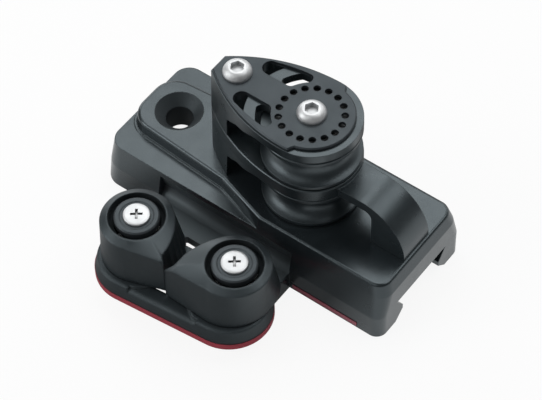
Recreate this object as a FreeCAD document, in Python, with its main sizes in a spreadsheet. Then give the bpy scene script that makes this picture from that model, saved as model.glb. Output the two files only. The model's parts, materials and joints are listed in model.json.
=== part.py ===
import FreeCAD, Part
import math
import operator
import os
import Sketcher

# End control for a sailing traveller track: a casting that caps the track's end, a block with two
# sheaves stacked on one upright bolt, a guide arch behind them and a cam cleat on a side arm.
# Origin: axis of the track bolt at the level of the casting's feet. +X runs along the track towards
# the casting's open end, +Z is up and the cleat's arm lies towards -Y. Millimetres and degrees.

# Base casting
SIZES = {
    "foot_half_width": 24.0,
    "deck_half_width": 22.0,
    "top_half_width": 20.8,
    "head_end": 17.0,
    "head_slope": 2.5,
    "tail_end": 101.8,
    "tail_slope": 1.5,
    "skirt_height": 10.0,
    "deck_height": 19.2,
    "base_height": 24.2,
    "foot_corner": 7.0,
    "deck_corner": 6.0,
    "tail_corner": 4.0,
    "boss_tail_corner": 5.0,
    "boss_head_reach": 13.2,
    "boss_head_half": 11.45,
    "boss_head_corner": 8.7,
    "boss_waist_reach": 29.8,
    "boss_waist_half": 14.7,
    "boss_flare_reach": 49.8,
    "boss_draft": 0.5,
    "boss_edge": 1.2,
    "boss_ledge_width": 0.6,
    "boss_ledge_height": 0.4,
    # Track channel under the casting
    "channel_half": 14.5,
    "hook_half": 10.5,
    "hook_foot": 3.7,
    "hook_height": 5.7,
    "undercut_half": 14.15,
    "channel_height": 10.7,
    "head_wall": 4.0,
    # Countersunk hole for the bolt that holds the casting to the track
    "track_hole": 4.85,
    "track_sink": 8.55,
    # Recess in the front wall above the cleat's arm
    "recess_start": 9.0,
    "recess_top": 17.4,
    "recess_lip": 22.2,
    "recess_waist": 20.9,
    "recess_waist_height": 12.7,
    "recess_wall": 20.4,
    "recess_cove": 4.0,
    # Arm that carries the cleat
    "arm_top": 7.5,
    "arm_plate": 3.4,
    "arm_middle": 31.8,
    "arm_boss": 6.1,
    "arm_wall": 2.5,
    "arm_inner_wall": 2.5,
    "arm_root": 0.5,
    "arm_corner": 5.0,
    "arm_crotch": 0.8,
    "nut_pocket_roof": 3.3,
    # Colour stripe on the front skirt
    "stripe_gap": 1.4,
    "stripe_length": 26.4,
    "stripe_lift": 0.85,
    "stripe_height": 1.9,
    "stripe_thickness": 0.25,
    # Block: plan outline about the sheave axis
    "axis_reach": 56.8,
    "bolt_spacing": 30.1,
    "round_radius": 17.0,
    "nose_reach": 38.3,
    "nose_half": 3.65,
    # The same outline at the seam between the frames and at the foot grows by these drafts
    "seam_nose": 0.1,
    "seam_nose_half": 0.7,
    "seam_side": 0.2,
    "seam_edge": 0.3,
    "foot_nose": 0.2,
    "foot_nose_half": 1.2,
    "foot_side": 2.0,
    # Stack heights
    "side_gap": 0.5,
    "sheave_thickness": 13.7,
    "cheek_thickness": 5.0,
    "shell_thickness": 3.3,
    "plate_thickness": 1.2,
    # Windows behind the tail wall and the skirts that hang beside the sheaves
    "wall_reach": 26.4,
    "window_corner": 1.0,
    "sheave_room": 0.5,
    "upper_skirt_drop": 6.2,
    "lower_skirt_drop": 5.1,
    "skirt_end": 11.0,
    "skirt_knee": 17.4,
    "skirt_knee_share": 0.37,
    "skirt_shoulder": 20.8,
    "skirt_shoulder_share": 0.44,
    "skirt_thickness": 1.6,
    # Side plate
    "plate_inset": 0.45,
    "plate_round": 14.6,
    "plate_step": 2.2,
    "plate_step_corner": 1.2,
    "plate_edge": 0.4,
    "slot_inner": 5.05,
    "slot_tail": 25.2,
    "slot_end_round": 2.95,
    "slot_rim": 2.75,
    "slot_foot": 13.6,
    "slot_round": 13.3,
    "slot_low_angle": 152.3,
    "slot_high_angle": 129.5,
    "slot_top": 9.9,
    "slot_low_corner": 2.2,
    "slot_high_corner": 2.0,
    "bar_inner": 18.4,
    "bar_inner_top": 13.0,
    "bar_outer": 22.3,
    "bar_outer_top": 19.05,
    "bar_corner": 2.3,
    "ring_hole_count": 17,
    "ring_hole": 1.25,
    "ring_radius": 10.86,
    "ring_half_width": 1.6,
    "ring_play": 0.1,
    "ring_sink": 1.35,
    "ring_depth": 2.4,
    # Guide arch
    "arch_half_width": 7.0,
    "arch_centre": 24.2,
    "arch_radius": 18.3,
    "arch_leg": 13.5,
    "arch_root": 13.0,
    "arch_crook": 3.0,
    # Sheaves
    "sheave_rim": 1.5,
    "groove_depth": 4.2,
    "sheave_bore": 9.3,
    "sheave_edge": 0.35,
    "sheave_web_inner": 10.6,
    "sheave_web_outer": 12.2,
    "sheave_web_depth": 0.5,
    # Sheave bearings
    "race_radius": 6.9,
    "roller_count": 16,
    "roller_play": 0.1,
    "roller_end_play": 0.5,
    "washer_outer": 10.2,
    "washer_play": 0.1,
    # Block bolts
    "bolt_radius": 3.0,
    "bolt_play": 0.08,
    "bolt_head": 5.0,
    "bolt_head_height": 2.9,
    "bolt_head_top": 3.05,
    "bolt_skirt": 0.7,
    "bolt_socket": 4.3,
    "bolt_socket_depth": 1.9,
    "bolt_depth": 11.0,
    "bolt_hole_extra": 0.5,
    # Cleat: place, sole and base
    "cleat_x": 39.7,
    "cleat_y": 46.9,
    "cleat_angle": 5.41,
    "pivot_half": 19.0,
    "lobe_half": 17.9,
    "lobe_back": 2.75,
    "lobe_edge": 1.0,
    "sole_radius": 15.0,
    "sole_thickness": 2.5,
    "sole_flank_angle": 60.0,
    "sole_waist": 12.7,
    "sole_waist_half": 8.5,
    "base_inset": 0.15,
    "base_side_slope": 0.9,
    "bar_thickness": 4.3,
    "bar_edge": 2.0,
    "lobe_rise": 1.0,
    "lobe_step": 0.1,
    "lobe_step_angle": 70.0,
    "centre_half": 10.5,
    "centre_front": 11.0,
    "centre_rear": 4.0,
    "centre_corner": 3.0,
    # Cams
    "cam_gap": 0.4,
    "cam_shoulder": 15.4,
    "cam_rise": 16.8,
    "cam_foot_heel": 12.8,
    "cam_foot_front": 14.3,
    "cam_foot_nose": 22.0,
    "cam_foot_grip": 20.9,
    "cam_foot_jaw_end": 15.4,
    "cam_heel": 12.4,
    "cam_front": 12.6,
    "cam_nose": 21.7,
    "cam_nose_angle": 31.6,
    "cam_nose_start": 14.0,
    "cam_nose_fall": 4.9,
    "cam_grip": 18.6,
    "cam_grip_angle": 28.5,
    "cam_contact": 1.2,
    "cam_rim": 9.8,
    "cam_jaw_angle": 69.8,
    "cam_front_reach": 3.0,
    "cam_teeth": 8,
    "cam_tooth": 0.75,
    "cam_shoulder_tooth": 0.05,
    "cam_recess": 9.6,
    "cam_recess_depth": 3.0,
    "cam_bore": 7.9,
    # Cam hubs, bearings, springs and screws
    "hub_radius": 4.7,
    "hub_bore": 2.6,
    "cap_radius": 7.7,
    "cap_thickness": 2.9,
    "cap_gap": 0.5,
    "cap_edge": 0.5,
    "cap_dish": 5.6,
    "cap_dish_depth": 0.3,
    "ball_count": 9,
    "ball_play": 0.1,
    "ball_lift": 8.5,
    "spring_wire": 0.8,
    "spring_turns": 3,
    "spring_gap": 0.25,
    "spring_opening": 24.0,
    "screw_radius": 2.5,
    "screw_head": 4.5,
    "screw_head_height": 1.1,
    "screw_edge": 0.5,
    "screw_cross": 0.9,
    "screw_cross_length": 5.0,
    "screw_cross_depth": 0.8,
    "nut_flats": 8.0,
    "nut_thickness": 4.0,
    "nut_play": 0.15,
}

DOC = FreeCAD.newDocument("TrackEnd")
SHEET = DOC.addObject("Spreadsheet::Sheet", "Sizes")
for row, (alias, number) in enumerate(SIZES.items(), start=1):
    SHEET.set("A%d" % row, alias)
    SHEET.set("B%d" % row, str(number))
    SHEET.setAlias("B%d" % row, alias)
DOC.recompute()


class Size:
    """A number together with its formula over the sheet, so that a size worked out here stays bound."""

    def __init__(self, value, text):
        self.value = value
        self.text = text

    def __add__(self, other):
        return join(operator.add, "+", self, other)

    def __sub__(self, other):
        return join(operator.sub, "-", self, other)

    def __mul__(self, other):
        return join(operator.mul, "*", self, other)

    def __truediv__(self, other):
        return join(operator.truediv, "/", self, other)

    def __radd__(self, other):
        return join(operator.add, "+", other, self)

    def __rsub__(self, other):
        return join(operator.sub, "-", other, self)

    def __rmul__(self, other):
        return join(operator.mul, "*", other, self)

    def __neg__(self):
        return Size(-self.value, "(-%s)" % self.text)


def as_size(number):
    return number if isinstance(number, Size) else Size(float(number), "%.9g" % number)


def join(work, sign, left, right):
    left = as_size(left)
    right = as_size(right)
    return Size(work(left.value, right.value), "(%s %s %s)" % (left.text, sign, right.text))


def cell(alias):
    return Size(float(SIZES[alias]), "Sizes." + alias)


def root(size):
    return Size(math.sqrt(size.value), "sqrt(%s)" % size.text)


def cosine(angle):
    return Size(math.cos(math.radians(angle.value)), "cos(%s)" % angle.text)


def sine(angle):
    return Size(math.sin(math.radians(angle.value)), "sin(%s)" % angle.text)


def polar(radius, angle):
    angle = as_size(angle)
    return radius * cosine(angle), radius * sine(angle)


def bind(thing, prop, size):
    """Set a property to a size and keep it tied to the size's formula."""
    size = as_size(size)
    if "." not in prop:
        setattr(thing, prop, size.value)
    thing.setExpression(prop, size.text)


# Named places that several pieces share
LOWER_SHEAVE_Z = cell("base_height") + cell("side_gap")
CHEEK_Z = LOWER_SHEAVE_Z + cell("sheave_thickness") + cell("side_gap")
SEAM_Z = CHEEK_Z + cell("cheek_thickness")
UPPER_SHEAVE_Z = SEAM_Z + cell("side_gap")
SHELL_Z = UPPER_SHEAVE_Z + cell("sheave_thickness") + cell("side_gap")
PLATE_Z = SHELL_Z + cell("shell_thickness")
PLATE_TOP_Z = PLATE_Z + cell("plate_thickness")
TAIL_BOLT_REACH = cell("axis_reach") - cell("bolt_spacing")
CLEAT_BASE_Z = cell("arm_top") + cell("sole_thickness")
LOBE_Z = CLEAT_BASE_Z + cell("bar_thickness") + cell("lobe_rise")
CAM_Z = LOBE_Z + cell("cam_gap")
CAM_TOP_Z = CAM_Z + cell("cam_rise")
CAP_Z = CAM_TOP_Z - cell("cam_recess_depth") + cell("cap_gap")
CAP_TOP_Z = CAP_Z + cell("cap_thickness")
BOLT_HOLE = cell("bolt_radius") + cell("bolt_play")
SCREW_HOLE = cell("hub_bore")

# A cutting shape reaches this far past the face it opens, so that nothing thin is left behind
PAST = 1

# How fast a cam's radius falls from its tip along the jaw
JAW_FALL = 3


def pivot_place(side):
    """Where the left (-1) or right (1) cam pivot stands in the frame of the casting."""
    angle = cell("cleat_angle")
    x = cell("cleat_x") + cell("pivot_half") * cosine(angle) * side
    y = cell("pivot_half") * sine(angle) * side - cell("cleat_y")
    return x, y


def recess_end():
    """The end of the recess and of the arm, just past the right cam's screw."""
    return pivot_place(1)[0] + cell("arm_boss")


# Sketches and features

def new_body(label, x=0.0, y=0.0, z=0.0, angle=0.0):
    body = DOC.addObject("PartDesign::Body", label)
    body.Label = label
    for prop, size in (("x", x), ("y", y), ("z", z)):
        bind(body, "Placement.Base." + prop, size)
    body.setExpression("Placement.Rotation.Axis.x", "0")
    body.setExpression("Placement.Rotation.Axis.z", "1")
    bind(body, "Placement.Rotation.Angle", angle)
    return body


def new_sketch(body, name, plane, lift):
    """A sketch on one of the body's own origin planes, lifted along the plane's normal."""
    sketch = body.newObject("Sketcher::SketchObject", name)
    support = [item for item in body.Origin.OriginFeatures if item.Role == plane + "_Plane"]
    sketch.AttachmentSupport = [(support[0], "")]
    sketch.MapMode = "FlatFace"
    bind(sketch, "AttachmentOffset.Base.z", lift)
    return sketch


def hold_point(sketch, geometry, place, x, y):
    for kind, size in (("DistanceX", x), ("DistanceY", y)):
        index = sketch.addConstraint(Sketcher.Constraint(kind, -1, 1, geometry, place, size.value))
        sketch.setExpression("Constraints[%d]" % index, size.text)


def hold_radius(sketch, geometry, radius):
    index = sketch.addConstraint(Sketcher.Constraint("Radius", geometry, radius.value))
    sketch.setExpression("Constraints[%d]" % index, radius.text)


def arc_between(start, end, radius, turn):
    """The short arc from start to end, turning left (1) or right (-1), and its two end numbers."""
    chord = end - start
    side = FreeCAD.Vector(-chord.y, chord.x, 0).normalize() * turn
    rise = math.sqrt(max(radius ** 2 - (chord.Length / 2) ** 2, 0.0))
    centre = start + chord * 0.5 + side * rise
    first, last = (start, end) if turn > 0 else (end, start)
    angles = [math.atan2(point.y - centre.y, point.x - centre.x) for point in (first, last)]
    if angles[1] < angles[0]:
        angles[1] += 2 * math.pi
    circle = Part.Circle(centre, FreeCAD.Vector(0, 0, 1), radius)
    return Part.ArcOfCircle(circle, angles[0], angles[1]), (1, 2) if turn > 0 else (2, 1)


def outline(body, name, plane, points, lift=0.0):
    """A closed outline. Each point is (x, y), with {"arc": radius, "turn": 1 or -1} where an arc
    arrives at it, or {"round": radius} where the corner is rounded."""
    sketch = new_sketch(body, name, plane, lift)
    corners = []
    for point in points:
        extra = point[2] if len(point) > 2 else {}
        corners.append((as_size(point[0]), as_size(point[1]), extra))
    count = len(corners)
    places = [FreeCAD.Vector(x.value, y.value, 0) for x, y, extra in corners]
    arrive = list(places)
    depart = list(places)
    for i, (x, y, extra) in enumerate(corners):
        if "round" in extra:
            back = (places[i - 1] - places[i]).normalize()
            onward = (places[(i + 1) % count] - places[i]).normalize()
            reach = as_size(extra["round"]).value / math.tan(back.getAngle(onward) / 2)
            arrive[i] = places[i] + back * reach
            depart[i] = places[i] + onward * reach
    edges = []
    for i, (x, y, extra) in enumerate(corners):
        if "arc" in extra:
            radius = as_size(extra["arc"])
            shape, ends = arc_between(depart[i - 1], arrive[i], radius.value, extra["turn"])
            edges.append((sketch.addGeometry(shape, False), ends))
            hold_radius(sketch, edges[-1][0], radius)
        else:
            line = Part.LineSegment(depart[i - 1], arrive[i])
            edges.append((sketch.addGeometry(line, False), (1, 2)))
    for i, (x, y, extra) in enumerate(corners):
        into, into_ends = edges[i]
        out, out_ends = edges[(i + 1) % count]
        if "round" in extra:
            radius = as_size(extra["round"])
            cross = (arrive[i] - places[i]).cross(depart[i] - places[i]).z
            turn = -1 if cross > 0 else 1
            shape, ends = arc_between(arrive[i], depart[i], radius.value, turn)
            bend = sketch.addGeometry(shape, False)
            mark = sketch.addGeometry(Part.Point(places[i]), True)
            sketch.addConstraint([
                Sketcher.Constraint("Tangent", into, into_ends[1], bend, ends[0]),
                Sketcher.Constraint("Tangent", bend, ends[1], out, out_ends[0]),
                Sketcher.Constraint("PointOnObject", mark, 1, into),
                Sketcher.Constraint("PointOnObject", mark, 1, out),
            ])
            hold_radius(sketch, bend, radius)
            hold_point(sketch, mark, 1, x, y)
        else:
            sketch.addConstraint(Sketcher.Constraint("Coincident", into, into_ends[1], out, out_ends[0]))
            hold_point(sketch, into, into_ends[1], x, y)
    return sketch


def circles(body, name, plane, rounds, lift=0.0):
    """Full circles, each (x, y, radius)."""
    sketch = new_sketch(body, name, plane, lift)
    for x, y, radius in rounds:
        x, y, radius = as_size(x), as_size(y), as_size(radius)
        centre = FreeCAD.Vector(x.value, y.value, 0)
        circle = Part.Circle(centre, FreeCAD.Vector(0, 0, 1), radius.value)
        index = sketch.addGeometry(circle, False)
        hold_radius(sketch, index, radius)
        hold_point(sketch, index, 3, x, y)
    return sketch


def mirrored(points):
    """The points of one side, then the same points on the other side in reverse order."""
    return points + [(x, -y) + tuple(extra) for x, y, *extra in reversed(points)]


def pad(body, sketch, length, both_ways=False):
    feature = body.newObject("PartDesign::Pad", sketch.Name + "Pad")
    feature.Profile = sketch
    feature.SideType = "Symmetric" if both_ways else "One side"
    bind(feature, "Length", length)
    return feature


def pocket(body, sketch, depth, both_ways=False, upward=True):
    """A cut that runs from its sketch along the plane's normal, or against it."""
    feature = body.newObject("PartDesign::Pocket", sketch.Name + "Pocket")
    feature.Profile = sketch
    feature.SideType = "Symmetric" if both_ways else "One side"
    feature.Reversed = upward and not both_ways
    bind(feature, "Length", depth)
    return feature


def loft(body, sketches):
    feature = body.newObject("PartDesign::AdditiveLoft", sketches[0].Name + "Loft")
    feature.Profile = sketches[0]
    feature.Sections = sketches[1:]
    feature.Ruled = True
    return feature


def axis_of(body, role):
    return [item for item in body.Origin.OriginFeatures if item.Role == role][0]


def revolve(body, sketch, angle=360.0, cut=False):
    kind = "PartDesign::Groove" if cut else "PartDesign::Revolution"
    feature = body.newObject(kind, sketch.Name + "Turn")
    feature.Profile = sketch
    feature.ReferenceAxis = (axis_of(body, "Z_Axis"), [""])
    bind(feature, "Angle", angle)
    return feature


def turned(body, name, points, lift=0.0):
    """A turned piece from its half section, given as (radius, height)."""
    raised = [(x, y + lift) + tuple(extra) for x, y, *extra in points]
    return revolve(body, outline(body, name, "XZ", raised))


def ring_pattern(body, feature, count):
    """Copies of a feature evenly round the body's upright axis."""
    pattern = body.newObject("PartDesign::PolarPattern", feature.Name + "Ring")
    pattern.Originals = [feature]
    pattern.Axis = (axis_of(body, "Z_Axis"), [""])
    pattern.Angle = 360
    pattern.Occurrences = int(count.value)
    pattern.setExpression("Occurrences", count.text)
    body.Tip = pattern
    return pattern


def mirror_pattern(body, features, plane="XZ_Plane"):
    pattern = body.newObject("PartDesign::Mirrored", features[0].Name + "Mirror")
    pattern.Originals = features
    pattern.MirrorPlane = (axis_of(body, plane), [""])
    body.Tip = pattern
    return pattern


def soften(body, size, wanted, kind="Fillet"):
    """Round or bevel the edges of the body's last feature that the wanted test picks."""
    DOC.recompute()
    last = body.Tip
    names = []
    for number, edge in enumerate(last.Shape.Edges, start=1):
        if wanted(edge):
            names.append("Edge%d" % number)
    if not names:
        raise RuntimeError("no edges found on " + last.Name)
    feature = body.newObject("PartDesign::" + kind, last.Name + kind)
    feature.Base = (last, names)
    bind(feature, "Radius" if kind == "Fillet" else "Size", size)
    return feature


def at_height(height, test=None):
    """Picks edges that lie wholly at one height and pass a test on their middle point."""
    height = as_size(height).value

    def wanted(edge):
        box = edge.BoundBox
        level = abs(box.ZMin - height) < 1e-4 and abs(box.ZMax - height) < 1e-4
        return level and (test is None or test(box.Center))

    return wanted


# Base casting

def casting_outline(body, name, height, head, tail, half, head_corner, tail_corner):
    return outline(body, name, "XY", mirrored([
        (-head, -half, {"round": head_corner}),
        (tail, -half, {"round": tail_corner}),
    ]), height)


def boss_outline(body, name, height, grow, tail, half):
    """The raised boss: square head with round corners, a waist, then a flare to the full width."""
    return outline(body, name, "XY", mirrored([
        (-cell("boss_head_reach") - grow, -cell("boss_head_half") - grow,
         {"round": cell("boss_head_corner")}),
        (cell("boss_waist_reach"), -cell("boss_waist_half") - grow),
        (cell("boss_flare_reach") + grow / 2, -half),
        (tail, -half, {"round": cell("boss_tail_corner")}),
    ]), height)


def make_track_base():
    body = new_body("track_base")
    foot_corner = cell("foot_corner")
    tail = cell("tail_end")
    head_fall = cell("head_slope") / cell("deck_height")
    head_at_skirt = cell("head_end") - head_fall * cell("skirt_height")
    skirt = casting_outline(body, "Skirt", 0.0, cell("head_end"), tail, cell("foot_half_width"),
                            foot_corner, cell("tail_corner"))
    slope_foot = casting_outline(body, "SlopeFoot", cell("skirt_height"), head_at_skirt, tail,
                                 cell("foot_half_width"), foot_corner, cell("tail_corner"))
    slope_top = casting_outline(body, "SlopeTop", cell("deck_height"), cell("head_end") - cell("head_slope"),
                                tail, cell("deck_half_width"), cell("deck_corner"), cell("boss_tail_corner"))
    loft(body, [skirt, slope_foot, slope_top])
    ledge_grow = cell("boss_draft") + cell("boss_ledge_width")
    ledge = boss_outline(body, "BossLedge", cell("deck_height"), ledge_grow, tail - cell("tail_slope"),
                         cell("deck_half_width") - cell("boss_ledge_height") / 2)
    pad(body, ledge, cell("boss_ledge_height"))
    boss_foot = boss_outline(body, "BossFoot", cell("deck_height"), cell("boss_draft"), tail,
                             cell("deck_half_width"))
    boss_top = boss_outline(body, "BossTop", cell("base_height"), as_size(0.0), tail - cell("tail_slope"),
                            cell("top_half_width"))
    loft(body, [boss_foot, boss_top])
    soften(body, cell("boss_edge"), at_height(cell("base_height")))

    # Recess in the front wall, coved down to the arm
    wall = cell("recess_wall")
    cove = cell("recess_cove")
    clear = cell("foot_half_width") + cell("recess_cove")
    recess = outline(body, "Recess", "YZ", [
        (-clear, cell("recess_top")),
        (-clear, cell("arm_top")),
        (-wall - cove, cell("arm_top")),
        (-wall, cell("arm_top") + cove, {"arc": cove, "turn": 1}),
        (-cell("recess_waist"), cell("recess_waist_height")),
        (-cell("recess_lip"), cell("recess_top")),
    ], cell("recess_start"))
    pocket(body, recess, recess_end() - cell("recess_start"))

    # Arm: a plate with two prongs that end round the cleat's screws
    left_x, left_y = pivot_place(-1)
    right_x, right_y = pivot_place(1)
    boss = cell("arm_boss")
    corner = {"round": cell("arm_corner")}
    crotch = {"round": cell("arm_crotch")}
    arm = outline(body, "Arm", "XY", [
        (cell("recess_start"), -wall),
        (cell("recess_start"), left_y - boss, corner),
        (left_x + boss, left_y - boss, corner),
        (left_x + boss, -cell("arm_middle"), crotch),
        (right_x - boss, -cell("arm_middle"), crotch),
        (right_x - boss, right_y - boss, corner),
        (recess_end(), right_y - boss, corner),
        (recess_end(), -wall),
    ])
    pad(body, arm, cell("arm_top"))
    wall_y = -cell("foot_half_width") - cell("arm_root")
    inner_left = left_x + boss - cell("arm_inner_wall")
    inner_right = right_x - boss + cell("arm_inner_wall")
    hollow = outline(body, "ArmHollow", "XY", [
        (cell("recess_start") + cell("arm_wall"), wall_y),
        (cell("recess_start") + cell("arm_wall"), left_y + boss),
        (inner_left, left_y + boss),
        (inner_left, -cell("arm_middle") - cell("arm_crotch")),
        (inner_right, -cell("arm_middle") - cell("arm_crotch")),
        (inner_right, right_y + boss),
        (recess_end() - cell("arm_wall"), right_y + boss),
        (recess_end() - cell("arm_wall"), wall_y),
    ])
    pocket(body, hollow, cell("arm_top") - cell("arm_plate"))
    for name, x, y in (("Left", left_x, left_y), ("Right", right_x, right_y)):
        flats = cell("nut_flats") + cell("nut_play") * 2
        nut_seat = outline(body, name + "NutSeat", "XY", hexagon(x, y, flats))
        pocket(body, nut_seat, cell("arm_top") - cell("nut_pocket_roof"))
        screw_hole = circles(body, name + "ScrewHole", "XY", [(x, y, SCREW_HOLE)])
        pocket(body, screw_hole, cell("arm_top") + PAST)

    # Channel that slides on the track, closed at the head
    channel_half = cell("channel_half")
    channel = outline(body, "Channel", "YZ", mirrored_upright([
        (channel_half, as_size(-PAST)),
        (channel_half, as_size(0.0)),
        (cell("hook_half"), cell("hook_foot")),
        (cell("hook_half"), cell("hook_height")),
        (cell("undercut_half"), cell("channel_height")),
    ]), cell("head_wall") - cell("head_end"))
    pocket(body, channel, cell("tail_end") + cell("head_end"))

    # Countersunk track bolt hole, and blind holes for the two bolts of the block
    sink_depth = cell("track_sink") - cell("track_hole")
    above = cell("base_height") + PAST
    sink = outline(body, "TrackHole", "XZ", [
        (0.0, cell("channel_height") - PAST),
        (cell("track_hole"), cell("channel_height") - PAST),
        (cell("track_hole"), cell("base_height") - sink_depth),
        (cell("track_sink"), cell("base_height")),
        (cell("track_sink"), above),
        (0.0, above),
    ])
    revolve(body, sink, cut=True)
    hole_depth = cell("bolt_depth") + cell("bolt_hole_extra")
    bolts = circles(body, "BoltHoles", "XY", [
        (cell("axis_reach"), 0.0, BOLT_HOLE),
        (TAIL_BOLT_REACH, 0.0, BOLT_HOLE),
    ], cell("base_height") - hole_depth)
    pocket(body, bolts, hole_depth + PAST)
    return body


def mirrored_upright(points):
    """The same as mirrored, about the upright axis of a YZ or XZ sketch."""
    return points + [(-x, y) for x, y in reversed(points)]


def hexagon(x, y, flats):
    corner = flats / (2 * math.cos(math.pi / 6))
    points = []
    for i in range(6):
        step_x, step_y = polar(corner, 60.0 * i)
        points.append((x + step_x, y + step_y))
    return points


def make_stripe():
    stripe = DOC.addObject("Part::Box", "stripe_label")
    stripe.Label = "stripe_label"
    bind(stripe, "Length", cell("stripe_length"))
    bind(stripe, "Width", cell("stripe_thickness"))
    bind(stripe, "Height", cell("stripe_height"))
    bind(stripe, "Placement.Base.x", recess_end() + cell("stripe_gap"))
    bind(stripe, "Placement.Base.y", -cell("foot_half_width") - cell("stripe_thickness"))
    bind(stripe, "Placement.Base.z", cell("stripe_lift"))
    return stripe


# Block frames

def side_arc(nose, nose_half, radius):
    """Radius of the long arc that joins the nose's corner to the round end."""
    drop = radius - nose_half
    return (nose * nose + drop * drop) / (drop * 2)


def inside_arc(inset):
    """Radius of an arc that keeps an even distance inside the shell's side arc."""
    return side_arc(cell("nose_reach"), cell("nose_half"), cell("round_radius")) - inset


def inside_y(inset, x):
    """How far from the middle that arc stands at one place along the block."""
    radius = inside_arc(inset)
    return cell("round_radius") - inset - radius + root(radius * radius - x * x)


def block_points(nose, nose_half, radius):
    """Plan of the block: flat nose, two long side arcs that run tangent into the round end."""
    side = side_arc(nose, nose_half, radius)
    return [
        (-nose, -nose_half),
        (0.0, -radius, {"arc": side, "turn": 1}),
        (radius, 0.0, {"arc": radius, "turn": 1}),
        (0.0, radius, {"arc": radius, "turn": 1}),
        (-nose, nose_half, {"arc": side, "turn": 1}),
    ]


def block_outline(body, name, height, nose_grow, half_grow, side_grow):
    return outline(body, name, "XY", block_points(
        cell("nose_reach") + nose_grow, cell("nose_half") + half_grow, cell("round_radius") + side_grow
    ), height)


def window_outline(body, name, floor, roof, drop):
    """The space behind the tail wall: its roof climbs from the wall to where the skirts end."""
    wall = cell("wall_reach")
    far = cell("arch_centre") + cell("arch_radius") * 2
    return outline(body, name, "XZ", [
        (-wall, floor - PAST),
        (far, floor - PAST),
        (far, roof),
        (-cell("skirt_end"), roof),
        (-cell("skirt_knee"), roof - drop * cell("skirt_knee_share")),
        (-cell("skirt_shoulder"), roof - drop * cell("skirt_shoulder_share")),
        (-wall, roof - drop, {"round": cell("window_corner")}),
    ])


def bolt_holes(body, name, low, high):
    places = [(0.0, 0.0, BOLT_HOLE), (-cell("bolt_spacing"), 0.0, BOLT_HOLE)]
    pocket(body, circles(body, name, "XY", places, low - PAST), high - low + 2 * PAST)


def sheave_room(body, name, low, high):
    room = circles(body, name, "XY", [(0.0, 0.0, cell("round_radius") + cell("sheave_room"))], low)
    pocket(body, room, high - low)


def make_lower_frame():
    body = new_body("lower_frame", x=cell("axis_reach"))
    foot = block_outline(body, "Foot", cell("base_height"), cell("foot_nose"), cell("foot_nose_half"),
                         cell("foot_side"))
    cheek_foot = block_outline(body, "CheekFoot", CHEEK_Z, cell("seam_nose"), cell("seam_nose_half"),
                               cell("seam_side"))
    loft(body, [foot, cheek_foot])
    window = window_outline(body, "LowerWindow", cell("base_height"), CHEEK_Z, cell("lower_skirt_drop"))
    pocket(body, window, cell("foot_half_width") * 3, both_ways=True)
    sheave_room(body, "LowerSheaveRoom", cell("base_height"), CHEEK_Z)
    cheek = block_outline(body, "Cheek", CHEEK_Z, cell("seam_nose"), cell("seam_nose_half"),
                          cell("seam_side"))
    pad(body, cheek, cell("cheek_thickness"))

    # Guide arch: a strap off the cheek that curves down into a thick leg
    centre = cell("arch_centre")
    radius = cell("arch_radius")
    inner = centre + radius - cell("arch_leg")
    arch = outline(body, "Arch", "XZ", [
        (cell("arch_root"), CHEEK_Z),
        (inner, CHEEK_Z, {"round": cell("arch_crook")}),
        (inner, cell("base_height")),
        (centre + radius, cell("base_height")),
        (centre, cell("base_height") + radius, {"arc": radius, "turn": 1}),
        (cell("arch_root"), cell("base_height") + radius),
    ])
    pad(body, arch, cell("arch_half_width") * 2, both_ways=True)
    soften(body, cell("seam_edge"), at_height(SEAM_Z), "Chamfer")
    bolt_holes(body, "LowerFrameHoles", cell("base_height"), SEAM_Z)
    return body


def slot_right_end():
    """The sheave side of a slot on the +Y side: round corners and an arc about the ring of holes."""
    low_x, low_y = polar(cell("slot_round"), cell("slot_low_angle"))
    high_x, high_y = polar(cell("slot_round"), cell("slot_high_angle"))
    return [
        (-cell("slot_foot"), cell("slot_inner")),
        (low_x, low_y, {"arc": cell("slot_low_corner"), "turn": 1}),
        (high_x, high_y, {"arc": cell("slot_round"), "turn": -1}),
        (-cell("slot_top"), inside_y(cell("slot_rim"), cell("slot_top")),
         {"arc": cell("slot_high_corner"), "turn": 1}),
    ]


def slot_left_end():
    """The tail side of a slot: a half circle."""
    bend = cell("slot_end_round")
    centre_x = bend - cell("slot_tail")
    outer = cell("slot_inner") + bend * 2
    arc = {"arc": bend, "turn": 1}
    return outer, centre_x, [
        (-cell("slot_tail"), cell("slot_inner") + bend, arc),
        (centre_x, cell("slot_inner"), arc),
    ]


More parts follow.
